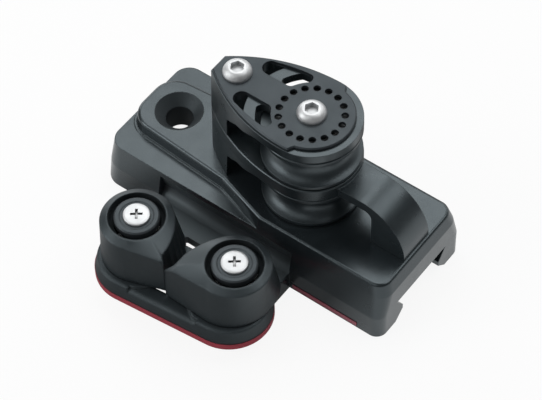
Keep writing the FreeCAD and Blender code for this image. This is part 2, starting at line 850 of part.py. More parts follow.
def make_side_plate():
    body = new_body("side_plate", x=cell("axis_reach"))
    inset = cell("plate_inset")
    step = cell("plate_step")
    radius = cell("round_radius") - inset
    edge_y = root(radius * radius - step * step)
    inner = cell("plate_round")
    inner_x = step + cell("plate_step_corner")
    inner_y = root(inner * inner - inner_x * inner_x)
    nose = cell("nose_reach") - inset
    half = cell("nose_half") - inset / 2
    side = side_arc(nose, half, radius)
    plate = outline(body, "Plate", "XY", [
        (-nose, -half),
        (0.0, -radius, {"arc": side, "turn": 1}),
        (step, -edge_y, {"arc": radius, "turn": 1}),
        (inner_x, -inner_y),
        (inner, 0.0, {"arc": inner, "turn": 1}),
        (inner_x, inner_y, {"arc": inner, "turn": 1}),
        (step, edge_y),
        (0.0, radius, {"arc": radius, "turn": 1}),
        (-nose, half, {"arc": side, "turn": 1}),
    ], PLATE_Z)
    pad(body, plate, cell("plate_thickness"))
    soften(body, cell("plate_edge"), at_height(PLATE_TOP_Z), "Chamfer")
    outer, end_x, left_end = slot_left_end()
    rim = {"arc": inside_arc(cell("slot_rim")), "turn": 1}
    slot = outline(body, "Slot", "XY", slot_right_end() + [(end_x, outer, rim)] + left_end, PLATE_Z - PAST)
    cut = pocket(body, slot, cell("plate_thickness") + 2 * PAST)
    mirror_pattern(body, [cut])
    hole = circles(body, "RingHole", "XY", [(-cell("ring_radius"), 0.0, cell("ring_hole"))], PLATE_Z - PAST)
    hole_cut = pocket(body, hole, cell("plate_thickness") + 2 * PAST)
    ring_pattern(body, hole_cut, cell("ring_hole_count"))
    bolt_holes(body, "PlateBoltHoles", PLATE_Z, PLATE_TOP_Z)
    return body


def make_upper_frame():
    body = new_body("upper_frame", x=cell("axis_reach"))
    zero = as_size(0.0)
    seam = block_outline(body, "Seam", SEAM_Z, cell("seam_nose"), cell("seam_nose_half"), cell("seam_side"))
    brow = block_outline(body, "Brow", PLATE_Z, zero, zero, zero)
    loft(body, [seam, brow])
    window = window_outline(body, "UpperWindow", SEAM_Z, SHELL_Z, cell("upper_skirt_drop"))
    pocket(body, window, cell("foot_half_width") * 3, both_ways=True)
    sheave_room(body, "UpperSheaveRoom", SEAM_Z, SHELL_Z)
    low = SHELL_Z - cell("upper_skirt_drop") - PAST
    wall = cell("wall_reach")
    end = cell("skirt_end")
    skirt = cell("skirt_thickness")
    skirt_arc = {"arc": inside_arc(skirt), "turn": 1}
    hollow = outline(body, "ShellHollow", "XY", [
        (-wall, -inside_y(skirt, wall)),
        (-end, -inside_y(skirt, end), skirt_arc),
        (-end, inside_y(skirt, end)),
        (-wall, inside_y(skirt, wall), skirt_arc),
    ], low)
    pocket(body, hollow, SHELL_Z - low)

    # Each slot opens on both sides of a bar that keeps to a ring about the sheave axis
    inner = cell("slot_inner")
    near = cell("bar_inner")
    far = cell("bar_outer")
    near_top_y = root(near * near - cell("bar_inner_top") * cell("bar_inner_top"))
    bend = cell("bar_corner")
    near_low_x = -root(near * near - (inner + bend) * (inner + bend))
    sheave_side = outline(body, "SheaveSideOpening", "XY", slot_right_end() + [
        (-cell("bar_inner_top"), near_top_y, {"arc": inside_arc(cell("slot_rim")), "turn": 1}),
        (near_low_x, inner + bend, {"arc": near, "turn": 1}),
        (near_low_x + bend, inner, {"arc": bend, "turn": 1}),
    ], SHELL_Z - PAST)
    depth = PLATE_Z - SHELL_Z + 2 * PAST
    sheave_side_cut = pocket(body, sheave_side, depth)
    far_low_x = -root(far * far - inner * inner)
    far_top_y = root(far * far - cell("bar_outer_top") * cell("bar_outer_top"))
    outer, end_x, left_end = slot_left_end()
    tail_side = outline(body, "TailSideOpening", "XY", [
        (far_low_x, inner),
        (-cell("bar_outer_top"), far_top_y, {"arc": far, "turn": -1}),
        (end_x, outer),
    ] + left_end, SHELL_Z - PAST)
    tail_side_cut = pocket(body, tail_side, depth)
    mirror_pattern(body, [sheave_side_cut, tail_side_cut])

    def outer_seam(place):
        return place.x < -wall.value

    soften(body, cell("seam_edge"), at_height(SEAM_Z, outer_seam), "Chamfer")

    # Groove for the white ring that shows through the plate's holes
    groove_floor = PLATE_Z - cell("ring_depth")
    ring_in = cell("ring_radius") - cell("ring_half_width") - cell("ring_play")
    ring_out = cell("ring_radius") + cell("ring_half_width") + cell("ring_play")
    groove = outline(body, "RingGroove", "XZ", [
        (ring_in, groove_floor),
        (ring_out, groove_floor),
        (ring_out, PLATE_Z + PAST),
        (ring_in, PLATE_Z + PAST),
    ])
    revolve(body, groove, cut=True)
    bolt_holes(body, "UpperFrameHoles", SEAM_Z, PLATE_Z)
    return body


def make_thrust_ring():
    body = new_body("thrust_ring", x=cell("axis_reach"))
    ring_in = cell("ring_radius") - cell("ring_half_width")
    ring_out = cell("ring_radius") + cell("ring_half_width")
    floor = PLATE_Z - cell("ring_depth")
    turned(body, "ThrustRing", [
        (ring_in, floor),
        (ring_out, floor),
        (ring_out, PLATE_Z - cell("ring_sink")),
        (ring_in, PLATE_Z - cell("ring_sink")),
    ])
    return body


# Sheaves and their bearings

def make_sheave(label, height):
    body = new_body(label, x=cell("axis_reach"), z=height)
    radius = cell("round_radius")
    rim = cell("sheave_rim")
    thick = cell("sheave_thickness")
    depth = cell("groove_depth")
    span = thick / 2 - rim
    groove = (span * span + depth * depth) / (depth * 2)
    edge = cell("sheave_edge")
    web = cell("sheave_web_depth")
    turned(body, "Sheave", [
        (cell("sheave_bore"), as_size(0.0)),
        (cell("sheave_web_inner"), as_size(0.0)),
        (cell("sheave_web_inner") + web, web),
        (cell("sheave_web_outer"), web),
        (cell("sheave_web_outer") + web, as_size(0.0)),
        (radius - edge, as_size(0.0)),
        (radius, edge),
        (radius, rim),
        (radius, thick - rim, {"arc": groove, "turn": -1}),
        (radius, thick - edge),
        (radius - edge, thick),
        (cell("sheave_web_outer") + web, thick),
        (cell("sheave_web_outer"), thick - web),
        (cell("sheave_web_inner") + web, thick - web),
        (cell("sheave_web_inner"), thick),
        (cell("sheave_bore"), thick),
    ])
    return body


def make_race(label, height):
    body = new_body(label, x=cell("axis_reach"), z=height - cell("side_gap"))
    length = cell("sheave_thickness") + cell("side_gap") * 2
    turned(body, "Race", [
        (BOLT_HOLE, as_size(0.0)),
        (cell("race_radius"), as_size(0.0)),
        (cell("race_radius"), length),
        (BOLT_HOLE, length),
    ])
    return body


def ring_of_solids(label, shape, count, radius, x, y, z):
    """Equal loose pieces evenly round an axis, kept together as one sub-part."""
    pieces = []
    for i in range(count):
        copy = shape.copy()
        angle = 2 * math.pi * i / count
        copy.translate(FreeCAD.Vector(radius.value * math.cos(angle), radius.value * math.sin(angle), 0))
        pieces.append(copy)
    feature = DOC.addObject("Part::Feature", label)
    feature.Label = label
    feature.Shape = Part.makeCompound(pieces)
    for prop, size in (("x", x), ("y", y), ("z", z)):
        bind(feature, "Placement.Base." + prop, size)
    return feature


def make_rollers(label, height):
    gap = cell("sheave_bore") - cell("race_radius")
    radius = gap / 2 - cell("roller_play")
    pitch = cell("race_radius") + gap / 2
    length = cell("sheave_thickness") - cell("roller_end_play") * 2
    roller = Part.makeCylinder(radius.value, length.value)
    return ring_of_solids(label, roller, int(SIZES["roller_count"]), pitch, cell("axis_reach"), 0.0,
                          height + cell("roller_end_play"))


def make_washers(label, height):
    """The two thrust washers of a sheave, one against each cheek."""
    thick = cell("side_gap") - cell("washer_play")
    inner = cell("race_radius") + cell("washer_play")
    heights = (height - cell("side_gap"), height + cell("sheave_thickness") + cell("washer_play"))
    pieces = []
    for number, low in enumerate(heights):
        disc = DOC.addObject("Part::Cylinder", "%s_disc_%d" % (label, number))
        hole = DOC.addObject("Part::Cylinder", "%s_hole_%d" % (label, number))
        for piece, radius in ((disc, cell("washer_outer")), (hole, inner)):
            bind(piece, "Radius", radius)
            bind(piece, "Height", thick)
            bind(piece, "Placement.Base.z", low)
        washer = DOC.addObject("Part::Cut", "%s_washer_%d" % (label, number))
        washer.Base = disc
        washer.Tool = hole
        pieces.append(washer)
    pair = DOC.addObject("Part::Compound", label)
    pair.Label = label
    pair.Links = pieces
    bind(pair, "Placement.Base.x", cell("axis_reach"))
    return pair


def make_block_bolt(label, reach):
    """Button-head bolt with a hexagon socket, from the side plate down into the casting."""
    body = new_body(label, x=reach)
    shank = cell("bolt_radius")
    head = cell("bolt_head")
    tall = cell("bolt_head_height")
    flat = cell("bolt_head_top")
    skirt = cell("bolt_skirt")
    dome_rise = tall - skirt
    dome_in = head - flat
    dome = (dome_rise * dome_rise + dome_in * dome_in) / (dome_rise * 2) + dome_in / 2
    turned(body, "Bolt", [
        (0.0, cell("base_height") - cell("bolt_depth")),
        (shank, cell("base_height") - cell("bolt_depth")),
        (shank, PLATE_TOP_Z),
        (head, PLATE_TOP_Z),
        (head, PLATE_TOP_Z + skirt),
        (flat, PLATE_TOP_Z + tall, {"arc": dome, "turn": 1}),
        (0.0, PLATE_TOP_Z + tall),
    ])
    socket = outline(body, "Socket", "XY", hexagon(as_size(0.0), as_size(0.0), cell("bolt_socket")),
                     PLATE_TOP_Z + tall - cell("bolt_socket_depth"))
    pocket(body, socket, cell("bolt_socket_depth") + PAST)
    return body


# Cam cleat, drawn about the middle between its pivots and turned into place

def cleat_body(label):
    return new_body(label, x=cell("cleat_x"), y=-cell("cleat_y"), angle=cell("cleat_angle"))


def sole_outline(body, name, height, inset):
    """Two round lobes joined by a straight front edge and a slightly hollow rear edge."""
    radius = cell("sole_radius") - inset
    half = cell("lobe_half")
    back = cell("lobe_back")
    front = back + radius
    waist = cell("sole_waist") - inset
    waist_half = cell("sole_waist_half")
    flank_x, flank_y = polar(radius, cell("sole_flank_angle"))
    return outline(body, name, "XY", [
        (half, -front),
        (half + radius, -back, {"arc": radius, "turn": 1}),
        (half, radius - back, {"arc": radius, "turn": 1}),
        (half - flank_x, flank_y - back, {"arc": radius, "turn": 1}),
        (waist_half, waist - back),
        (-waist_half, waist - back),
        (-half + flank_x, flank_y - back),
        (-half, radius - back, {"arc": radius, "turn": 1}),
        (-half - radius, -back, {"arc": radius, "turn": 1}),
        (-half, -front, {"arc": radius, "turn": 1}),
    ], height)


def centre_outline(body, name, height):
    corner = {"round": cell("centre_corner")}
    half = cell("centre_half")
    return outline(body, name, "XY", [
        (-half, -cell("centre_front"), corner),
        (half, -cell("centre_front"), corner),
        (half, cell("centre_rear"), corner),
        (-half, cell("centre_rear"), corner),
    ], height)


def pivot_holes(body, name, low, high):
    half = cell("pivot_half")
    sketch = circles(body, name, "XY", [(-half, 0.0, SCREW_HOLE), (half, 0.0, SCREW_HOLE)], low - PAST)
    pocket(body, sketch, high - low + 2 * PAST)


def make_cleat_sole():
    body = cleat_body("cleat_sole")
    pad(body, sole_outline(body, "Sole", cell("arm_top"), as_size(0.0)), cell("sole_thickness"))
    centre = centre_outline(body, "SoleCentre", cell("arm_top") - PAST)
    pocket(body, centre, cell("sole_thickness") + 2 * PAST)
    pivot_holes(body, "SoleHoles", cell("arm_top"), CLEAT_BASE_Z)
    return body


def make_cleat_base():
    """Moulded base: two round lobes under the cams, joined front and rear by lower bars."""
    body = cleat_body("cleat_base")
    edge = cell("lobe_edge")
    corner = edge * (1 - math.sqrt(0.5))
    brow = cell("base_inset") + cell("base_side_slope")
    low = sole_outline(body, "BaseFoot", CLEAT_BASE_Z, cell("base_inset"))
    side = sole_outline(body, "BaseSide", LOBE_Z - edge, brow)
    bevel = sole_outline(body, "BaseBevel", LOBE_Z - corner, brow + corner)
    high = sole_outline(body, "BaseCrown", LOBE_Z, brow + edge)
    loft(body, [low, side, bevel, high])
    radius = cell("sole_radius") - brow - cell("lobe_step")
    step_x, step_y = polar(radius, cell("lobe_step_angle"))
    front_x = cell("lobe_half") - step_x
    front_y = cell("lobe_back") + step_y
    rear_y = step_y - cell("lobe_back")
    clear = cell("sole_radius") * 2
    bars = outline(body, "Bars", "XY", [
        (-front_x, -clear),
        (front_x, -clear),
        (front_x, -front_y),
        (front_x, rear_y, {"arc": radius, "turn": -1}),
        (front_x, clear),
        (-front_x, clear),
        (-front_x, rear_y),
        (-front_x, -front_y, {"arc": radius, "turn": -1}),
    ], CLEAT_BASE_Z + cell("bar_thickness"))
    pocket(body, bars, cell("lobe_rise") + PAST)

    # Round front edge of the front bar
    bend = cell("bar_edge")
    bar_top = CLEAT_BASE_Z + cell("bar_thickness")
    rise = cell("bar_thickness") - bend
    lean = cell("base_side_slope") / (LOBE_Z - edge - CLEAT_BASE_Z)
    foot_y = cell("lobe_back") + cell("sole_radius") - cell("base_inset") - lean * rise
    bar_front = outline(body, "BarFront", "YZ", [
        (-foot_y, bar_top - bend),
        (bend - foot_y, bar_top, {"arc": bend, "turn": -1}),
        (bend - foot_y, bar_top + PAST),
        (-foot_y - PAST, bar_top + PAST),
        (-foot_y - PAST, bar_top - bend),
    ])
    pocket(body, bar_front, front_x * 2, both_ways=True)
    centre = centre_outline(body, "BaseCentre", CLEAT_BASE_Z - PAST)
    pocket(body, centre, LOBE_Z - CLEAT_BASE_Z + 2 * PAST)
    pivot_holes(body, "BaseHoles", CLEAT_BASE_Z, LOBE_Z)
    return body


def cam_outline(body, name, height, side, heel, front, nose, grip, end, tooth):
    """Cam plan about its pivot, for the left (1) or right (-1) cam: a narrow nose, a toothed jaw whose
    radius falls from grip to end, a round heel, and a front flank that runs out to the nose."""
    swing = cell("cam_jaw_angle") + cell("cam_grip_angle")
    teeth = int(SIZES["cam_teeth"]) * 2
    points = [polar(nose, -cell("cam_nose_angle"))]
    for i in range(teeth + 1):
        share = i / teeth
        reach = (grip - end) * ((1 - share) ** JAW_FALL) + end
        valley = tooth if i % 2 else as_size(0.0)
        points.append(polar(reach - valley, swing * share - cell("cam_grip_angle")))
    reach = cell("cam_front_reach")
    flank = heel + reach
    front_radius = (flank * flank + front * front) / (flank * 2)
    points.append((-heel, as_size(0.0), {"arc": heel, "turn": side}))
    points.append((reach, -front, {"arc": front_radius, "turn": side}))
    return outline(body, name, "XY", [(x * side, y) + tuple(extra) for x, y, *extra in points], height)


def make_cam(label, side):
    x, y = pivot_place(-side)
    body = new_body(label, x=x, y=y, z=CAM_Z, angle=cell("cleat_angle"))
    # The left cam is a little shorter, so that the two meet left of the middle
    short = cell("cam_contact") * side
    foot = cam_outline(body, "CamFoot", as_size(0.0), side, cell("cam_foot_heel"), cell("cam_foot_front"),
                       cell("cam_foot_nose") - short, cell("cam_foot_grip") - short,
                       cell("cam_foot_jaw_end"), cell("cam_tooth"))
    shoulder = cam_outline(body, "CamShoulder", cell("cam_shoulder"), side, cell("cam_heel"),
                           cell("cam_front"), cell("cam_nose") - short, cell("cam_grip") - short,
                           cell("cam_heel"), cell("cam_shoulder_tooth"))
    rim = cell("cam_rim")
    crown = cam_outline(body, "CamCrown", cell("cam_rise"), side, rim, rim, rim, rim, rim, as_size(0.0))
    loft(body, [foot, shoulder, crown])

    # The top falls away towards the nose
    far = cell("cam_foot_nose") - short
    nose = outline(body, "NoseFall", "XZ", [(x * side, z) for x, z in (
        (cell("cam_nose_start"), cell("cam_rise")),
        (far, cell("cam_rise") - cell("cam_nose_fall")),
        (far, cell("cam_rise") + PAST),
        (cell("cam_nose_start"), cell("cam_rise") + PAST),
    )])
    pocket(body, nose, far * 2, both_ways=True)
    bore = outline(body, "CamBore", "XZ", [
        (as_size(0.0), as_size(-PAST)),
        (cell("cam_bore"), as_size(-PAST)),
        (cell("cam_bore"), cell("cam_rise") - cell("cam_recess_depth")),
        (cell("cam_recess"), cell("cam_rise") - cell("cam_recess_depth")),
        (cell("cam_recess"), cell("cam_rise") + PAST),
        (as_size(0.0), cell("cam_rise") + PAST),
    ])
    revolve(body, bore, cut=True)
    return body


def make_cap(label, side):
    """Hub sleeve with its cover disc, dished round the screw."""
    x, y = pivot_place(side)
    body = new_body(label, x=x, y=y)
    edge = cell("cap_edge")
    turned(body, "Cap", [
        (cell("hub_bore"), LOBE_Z),
        (cell("hub_radius"), LOBE_Z),
        (cell("hub_radius"), CAP_Z),
        (cell("cap_radius"), CAP_Z),
        (cell("cap_radius"), CAP_TOP_Z - edge),
        (cell("cap_radius") - edge, CAP_TOP_Z),
        (cell("cap_dish") + cell("cap_dish_depth"), CAP_TOP_Z),
        (cell("cap_dish"), CAP_TOP_Z - cell("cap_dish_depth")),
        (cell("hub_bore"), CAP_TOP_Z - cell("cap_dish_depth")),
    ])
    return body


def make_cam_screw(label, side):
    x, y = pivot_place(side)
    body = new_body(label, x=x, y=y, angle=cell("cleat_angle"))
    seat = CAP_TOP_Z - cell("cap_dish_depth")
    top = seat + cell("screw_head_height")
    foot = cell("arm_top") - cell("nut_pocket_roof") - cell("nut_thickness")
    edge = cell("screw_edge")
    turned(body, "Screw", [
        (0.0, foot),
        (cell("screw_radius"), foot),
        (cell("screw_radius"), seat),
        (cell("screw_head"), seat),
        (cell("screw_head"), top - edge),
        (cell("screw_head") - edge, top),
        (0.0, top),
    ])
    arm = cell("screw_cross") / 2
    tip = cell("screw_cross_length") / 2
    cross = outline(body, "Cross", "XY", [
        (arm, arm), (arm, tip), (-arm, tip), (-arm, arm), (-tip, arm), (-tip, -arm),
        (-arm, -arm), (-arm, -tip), (arm, -tip), (arm, -arm), (tip, -arm), (tip, arm),
    ], top - cell("screw_cross_depth"))
    pocket(body, cross, cell("screw_cross_depth") + PAST)
    return body


def make_cam_balls(label, side):
    gap = cell("cam_bore") - cell("hub_radius")
    radius = gap / 2 - cell("ball_play")
    pitch = cell("hub_radius") + gap / 2
    x, y = pivot_place(side)
    return ring_of_solids(label, Part.makeSphere(radius.value), int(SIZES["ball_count"]), pitch, x, y,
                          CAM_Z + cell("ball_lift"))


def make_cam_spring(label, side):
    """Flat-wire torsion spring round the hub, its turns open at one place."""
    x, y = pivot_place(side)
    body = new_body(label, x=x, y=y, angle=cell("cleat_angle"))
    wire = cell("spring_wire")
    middle = (cell("cam_bore") + cell("hub_radius")) / 2
    for i in range(int(SIZES["spring_turns"])):
        low = LOBE_Z + cell("cam_gap") + (wire + cell("spring_gap")) * i
        turn_profile = outline(body, "Turn%d" % i, "XZ", [
            (middle - wire, low),
            (middle + wire, low),
            (middle + wire, low + wire + cell("spring_gap")),
            (middle - wire, low + wire),
        ])
        revolve(body, turn_profile, 360 - cell("spring_opening"))
    return body


def make_nuts():
    pieces = []
    for name, side in (("left", -1), ("right", 1)):
        x, y = pivot_place(side)
        blank = DOC.addObject("Part::Prism", name + "_nut_blank")
        blank.Polygon = 6
        bore = DOC.addObject("Part::Cylinder", name + "_nut_bore")
        bind(blank, "Circumradius", cell("nut_flats") / (2 * math.cos(math.pi / 6)))
        bind(bore, "Radius", cell("screw_radius") + cell("bolt_play"))
        for piece in (blank, bore):
            bind(piece, "Height", cell("nut_thickness"))
            bind(piece, "Placement.Base.x", x)
            bind(piece, "Placement.Base.y", y)
            bind(piece, "Placement.Base.z",
                 cell("arm_top") - cell("nut_pocket_roof") - cell("nut_thickness"))
        nut = DOC.addObject("Part::Cut", name + "_nut")
        nut.Base = blank
        nut.Tool = bore
        pieces.append(nut)
    pair = DOC.addObject("Part::Compound", "cleat_nuts")
    pair.Label = "cleat_nuts"
    pair.Links = pieces
    return pair


PARTS = [
    make_track_base(),
    make_stripe(),
    make_lower_frame(),
    make_upper_frame(),
    make_side_plate(),
    make_thrust_ring(),
    make_sheave("lower_sheave", LOWER_SHEAVE_Z),
    make_sheave("upper_sheave", UPPER_SHEAVE_Z),
    make_race("lower_race", LOWER_SHEAVE_Z),
    make_race("upper_race", UPPER_SHEAVE_Z),
    make_rollers("lower_rollers", LOWER_SHEAVE_Z),
    make_rollers("upper_rollers", UPPER_SHEAVE_Z),
    make_washers("lower_thrust_washers", LOWER_SHEAVE_Z),
    make_washers("upper_thrust_washers", UPPER_SHEAVE_Z),
    make_block_bolt("centre_bolt", cell("axis_reach")),
    make_block_bolt("tail_bolt", TAIL_BOLT_REACH),
    make_cleat_sole(),
    make_cleat_base(),
    make_cam("left_cam", 1),
    make_cam("right_cam", -1),
    make_cap("left_cap", -1),
    make_cap("right_cap", 1),
    make_cam_screw("left_cam_screw", -1),
    make_cam_screw("right_cam_screw", 1),
    make_cam_balls("left_cam_balls", -1),
    make_cam_balls("right_cam_balls", 1),
    make_cam_spring("left_cam_spring", -1),
    make_cam_spring("right_cam_spring", 1),
    make_nuts(),
]
DOC.recompute()

for item in DOC.Objects:
    if "Invalid" in item.State or "Error" in item.State:
        raise RuntimeError("%s failed: %s" % (item.Name, item.State))
os.makedirs("parts", exist_ok=True)
for part in PARTS:
    if part.Shape.isNull() or not part.Shape.isValid():
        raise RuntimeError(part.Label + " has no valid shape")
    part.Shape.exportStep(os.path.join("parts", part.Label + ".step"))
    print("%-22s %2d solids %9.1f mm3" % (part.Label, len(part.Shape.Solids), part.Shape.Volume))
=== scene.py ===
import json
import math

import bpy
from mathutils import Matrix, Vector


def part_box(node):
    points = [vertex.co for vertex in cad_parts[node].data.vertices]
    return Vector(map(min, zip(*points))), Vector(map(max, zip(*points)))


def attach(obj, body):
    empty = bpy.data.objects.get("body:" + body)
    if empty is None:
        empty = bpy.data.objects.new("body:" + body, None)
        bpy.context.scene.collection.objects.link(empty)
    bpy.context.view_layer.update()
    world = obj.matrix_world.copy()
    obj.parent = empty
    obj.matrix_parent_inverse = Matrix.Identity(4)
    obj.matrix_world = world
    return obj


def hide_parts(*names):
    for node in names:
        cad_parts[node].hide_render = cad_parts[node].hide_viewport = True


# Looks of the track end control: camera, studio light, floor, a procedural finish for each piece,
# and the two cam screws, which are made here. The scene is in metres. Sizes of pieces and of their
# finishes are written in mm and multiplied by MM.

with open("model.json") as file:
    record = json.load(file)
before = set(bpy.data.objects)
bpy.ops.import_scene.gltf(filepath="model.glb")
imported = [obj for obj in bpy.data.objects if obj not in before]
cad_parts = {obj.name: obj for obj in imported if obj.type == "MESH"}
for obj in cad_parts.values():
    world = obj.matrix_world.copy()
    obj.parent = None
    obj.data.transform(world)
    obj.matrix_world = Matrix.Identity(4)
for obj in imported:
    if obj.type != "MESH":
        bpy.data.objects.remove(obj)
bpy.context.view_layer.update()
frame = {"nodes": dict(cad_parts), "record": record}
nodes = frame["nodes"]

MM = 0.001
WHITE = (1, 1, 1, 1)


def place_object(name, data):
    piece = bpy.data.objects.new(name, data)
    bpy.context.scene.collection.objects.link(piece)
    return piece


def direction(azimuth, elevation):
    """The way out from the part: azimuth 0 is -Y and 90 is +X. Angles are in radians."""
    return Vector((math.sin(azimuth) * math.cos(elevation),
                   -math.cos(azimuth) * math.cos(elevation), math.sin(elevation)))


# Camera, worked out from the photograph's round holes, bolt heads and straight edges

IMAGE_WIDTH = 542
FOCAL_PIXELS = 2300.5
SENSOR_MM = 36.0
CLIP_NEAR = 0.05
CLIP_FAR = 20
AZIMUTH = math.radians(37.98)
ELEVATION = math.radians(52.739)
ROLL = math.radians(-1.677)
DISTANCE = 0.785067
TARGET = Vector((0.0436, -0.005761, 0.013017))


def make_camera():
    data = bpy.data.cameras.new("Camera")
    data.sensor_width = SENSOR_MM
    data.lens = SENSOR_MM * FOCAL_PIXELS / IMAGE_WIDTH
    data.clip_start = CLIP_NEAR
    data.clip_end = CLIP_FAR
    camera = place_object("Camera", data)
    back = direction(AZIMUTH, ELEVATION)
    level = Vector((math.cos(AZIMUTH), math.sin(AZIMUTH), 0))
    rise = back.cross(level)
    right = math.cos(ROLL) * level + math.sin(ROLL) * rise
    up = math.cos(ROLL) * rise - math.sin(ROLL) * level
    turn = Matrix((right, up, back)).transposed()
    camera.matrix_world = Matrix.Translation(TARGET + back * DISTANCE) @ turn.to_4x4()
    bpy.context.scene.camera = camera


# Shader building blocks

# Places of the colour sockets on a Mix node
MIX_FIRST, MIX_SECOND, MIX_RESULT = 6, 7, 2
NOISE_ROUGHNESS = 0.55
# Part of a noise's range over which it blends from one value to the other
CLOUD_BAND = (0.3, 0.7)


def feed(tree, value, socket):
    """Set a socket to a value, or link it where the value is a socket too."""
    if isinstance(value, bpy.types.NodeSocket):
        tree.links.new(value, socket)
    else:
        socket.default_value = value


def empty_tree(owner):
    owner.use_nodes = True
    owner.node_tree.nodes.clear()
    return owner.node_tree


def split(tree, vector):
    """A vector's parts, by the names X, Y and Z."""
    parts = tree.nodes.new("ShaderNodeSeparateXYZ")
    feed(tree, vector, parts.inputs[0])
    return parts.outputs


def add_math(tree, work, first, second):
    node = tree.nodes.new("ShaderNodeMath")
    node.operation = work
    feed(tree, first, node.inputs[0])
    feed(tree, second, node.inputs[1])
    return node.outputs[0]


def add_range(tree, value, band, result):
    """Spread a band of values over a result, such as (0, 1), and stop at its ends."""
    spread = tree.nodes.new("ShaderNodeMapRange")
    feed(tree, value, spread.inputs["Value"])
    names = ("From Min", "From Max", "To Min", "To Max")
    for name, number in zip(names, (*band, *result)):
        feed(tree, number, spread.inputs[name])
    return spread.outputs["Result"]


def add_noise(tree, place, scale, detail):
    noise = tree.nodes.new("ShaderNodeTexNoise")
    feed(tree, scale, noise.inputs["Scale"])
    feed(tree, detail, noise.inputs["Detail"])
    feed(tree, NOISE_ROUGHNESS, noise.inputs["Roughness"])
    feed(tree, place, noise.inputs["Vector"])
    return noise.outputs["Fac"]


def add_blend(tree, value, first, second, band=CLOUD_BAND):
    """Blend two colours as a value crosses a band."""
    ramp = tree.nodes.new("ShaderNodeValToRGB")
    for element, position, colour in zip(ramp.color_ramp.elements, band, (first, second)):
        element.position = position
        element.color = (*colour, 1)
    feed(tree, value, ramp.inputs["Fac"])
    return ramp.outputs["Color"]


def add_mixed(tree, share, first, second, blend="MIX"):
    mix = tree.nodes.new("ShaderNodeMix")
    mix.data_type = "RGBA"
    mix.blend_type = blend
    feed(tree, share, mix.inputs["Factor"])
    feed(tree, first, mix.inputs[MIX_FIRST])
    feed(tree, second, mix.inputs[MIX_SECOND])
    return mix.outputs[MIX_RESULT]


def add_bump(tree, height, distance, normal):
    bump = tree.nodes.new("ShaderNodeBump")
    feed(tree, distance, bump.inputs["Distance"])
    feed(tree, height, bump.inputs["Height"])
    feed(tree, normal, bump.inputs["Normal"])
    return bump.outputs["Normal"]


def add_vector_math(tree, work, first, second=(0, 0, 0)):
    node = tree.nodes.new("ShaderNodeVectorMath")
    node.operation = work
    feed(tree, first, node.inputs[0])
    feed(tree, second, node.inputs[1])
    return node.outputs


def add_radius(tree, place, centre):
    """How far a point is from an upright axis."""
    shift = add_vector_math(tree, "SUBTRACT", place, (centre[0], centre[1], 0))["Vector"]
    flat = add_vector_math(tree, "MULTIPLY", shift, (1, 1, 0))["Vector"]
    return add_vector_math(tree, "LENGTH", flat)["Value"]


# Light and floor

FLOOR_SIZE = 8.0
FLOOR_COLOUR = (0.92, 0.92, 0.92, 1)
# Share of the floor's look that is plain white; the rest takes the object's shadow
FLOOR_GLOW = 0.90
WORLD_FILL = 0.20
WORLD_TINT = (0.95, 0.98, 1.0, 1)
# How bright the white surroundings look in reflections: overhead, at the horizon, low down behind
# the part, on the floor beside the part, where it is dimmed as painted shade, and on the floor past
# its two ends
MIRROR_OVERHEAD = 0.12
MIRROR_HORIZON = 0.20
MIRROR_BACKDROP = 0.60
MIRROR_FLOOR = 0.16
MIRROR_FLOOR_END = 0.90
# A ray's Z from which the horizon gives way to overhead, and its Y from which it meets the backdrop
DOME_Z = (0.05, 0.45)
BACKDROP_Y = (0.55, 0.85)
# X at which the floor is bright in reflections and at which it is dim, for the two ends
FLOOR_LEFT_X = (-0.020, -0.004)
FLOOR_RIGHT_X = (0.104, 0.078)

# Soft lamps round the middle of the part: azimuth and elevation in degrees, and power
LAMP_DISTANCE = 1.1
LAMP_SIZE = 0.6
LAMPS = {
    "right_back_soft_box": (135, 60, 2.35),
    "left_back_soft_box": (218, 60, 2.69),
    "back_soft_box": (180, 35, 1.18),
    "left_front_soft_box": (-45, 30, 3.70),
    "front_soft_box": (0, 50, 0.92),
    "left_soft_box": (-90, 60, 1.01),
    "low_left_soft_box": (-120, 20, 2.18),
}


def make_lamp(name, azimuth, elevation, power):
    """A large square lamp that looks at the middle of the part."""
    data = bpy.data.lights.new(name, "AREA")
    data.size = LAMP_SIZE
    data.energy = power
    lamp = place_object(name, data)
    away = direction(math.radians(azimuth), math.radians(elevation))
    lamp.location = TARGET + away * LAMP_DISTANCE
    lamp.rotation_mode = "QUATERNION"
    lamp.rotation_quaternion = away.to_track_quat("Z", "Y")


def add_plain_shader(tree, kind, colour, strength=None):
    shader = tree.nodes.new(kind)
    feed(tree, colour, shader.inputs["Color"])
    if strength is not None:
        feed(tree, strength, shader.inputs["Strength"])
    return shader.outputs[0]


def finish_tree(tree, output, share, first, second):
    """Mix two shaders by a share, as the tree's surface."""
    mix = tree.nodes.new("ShaderNodeMixShader")
    for socket, value in zip(mix.inputs, (share, first, second)):
        feed(tree, value, socket)
    feed(tree, mix.outputs[0], tree.nodes.new(output).inputs["Surface"])


def add_ray_kinds(tree):
    """1 for what the camera sees directly, and 1 for that or what metal and glass show."""
    path = tree.nodes.new("ShaderNodeLightPath")
    direct = path.outputs["Is Camera Ray"]
    mirrored = add_math(tree, "MAXIMUM", path.outputs["Is Glossy Ray"],
                        path.outputs["Is Transmission Ray"])
    return direct, add_math(tree, "MAXIMUM", direct, mirrored)


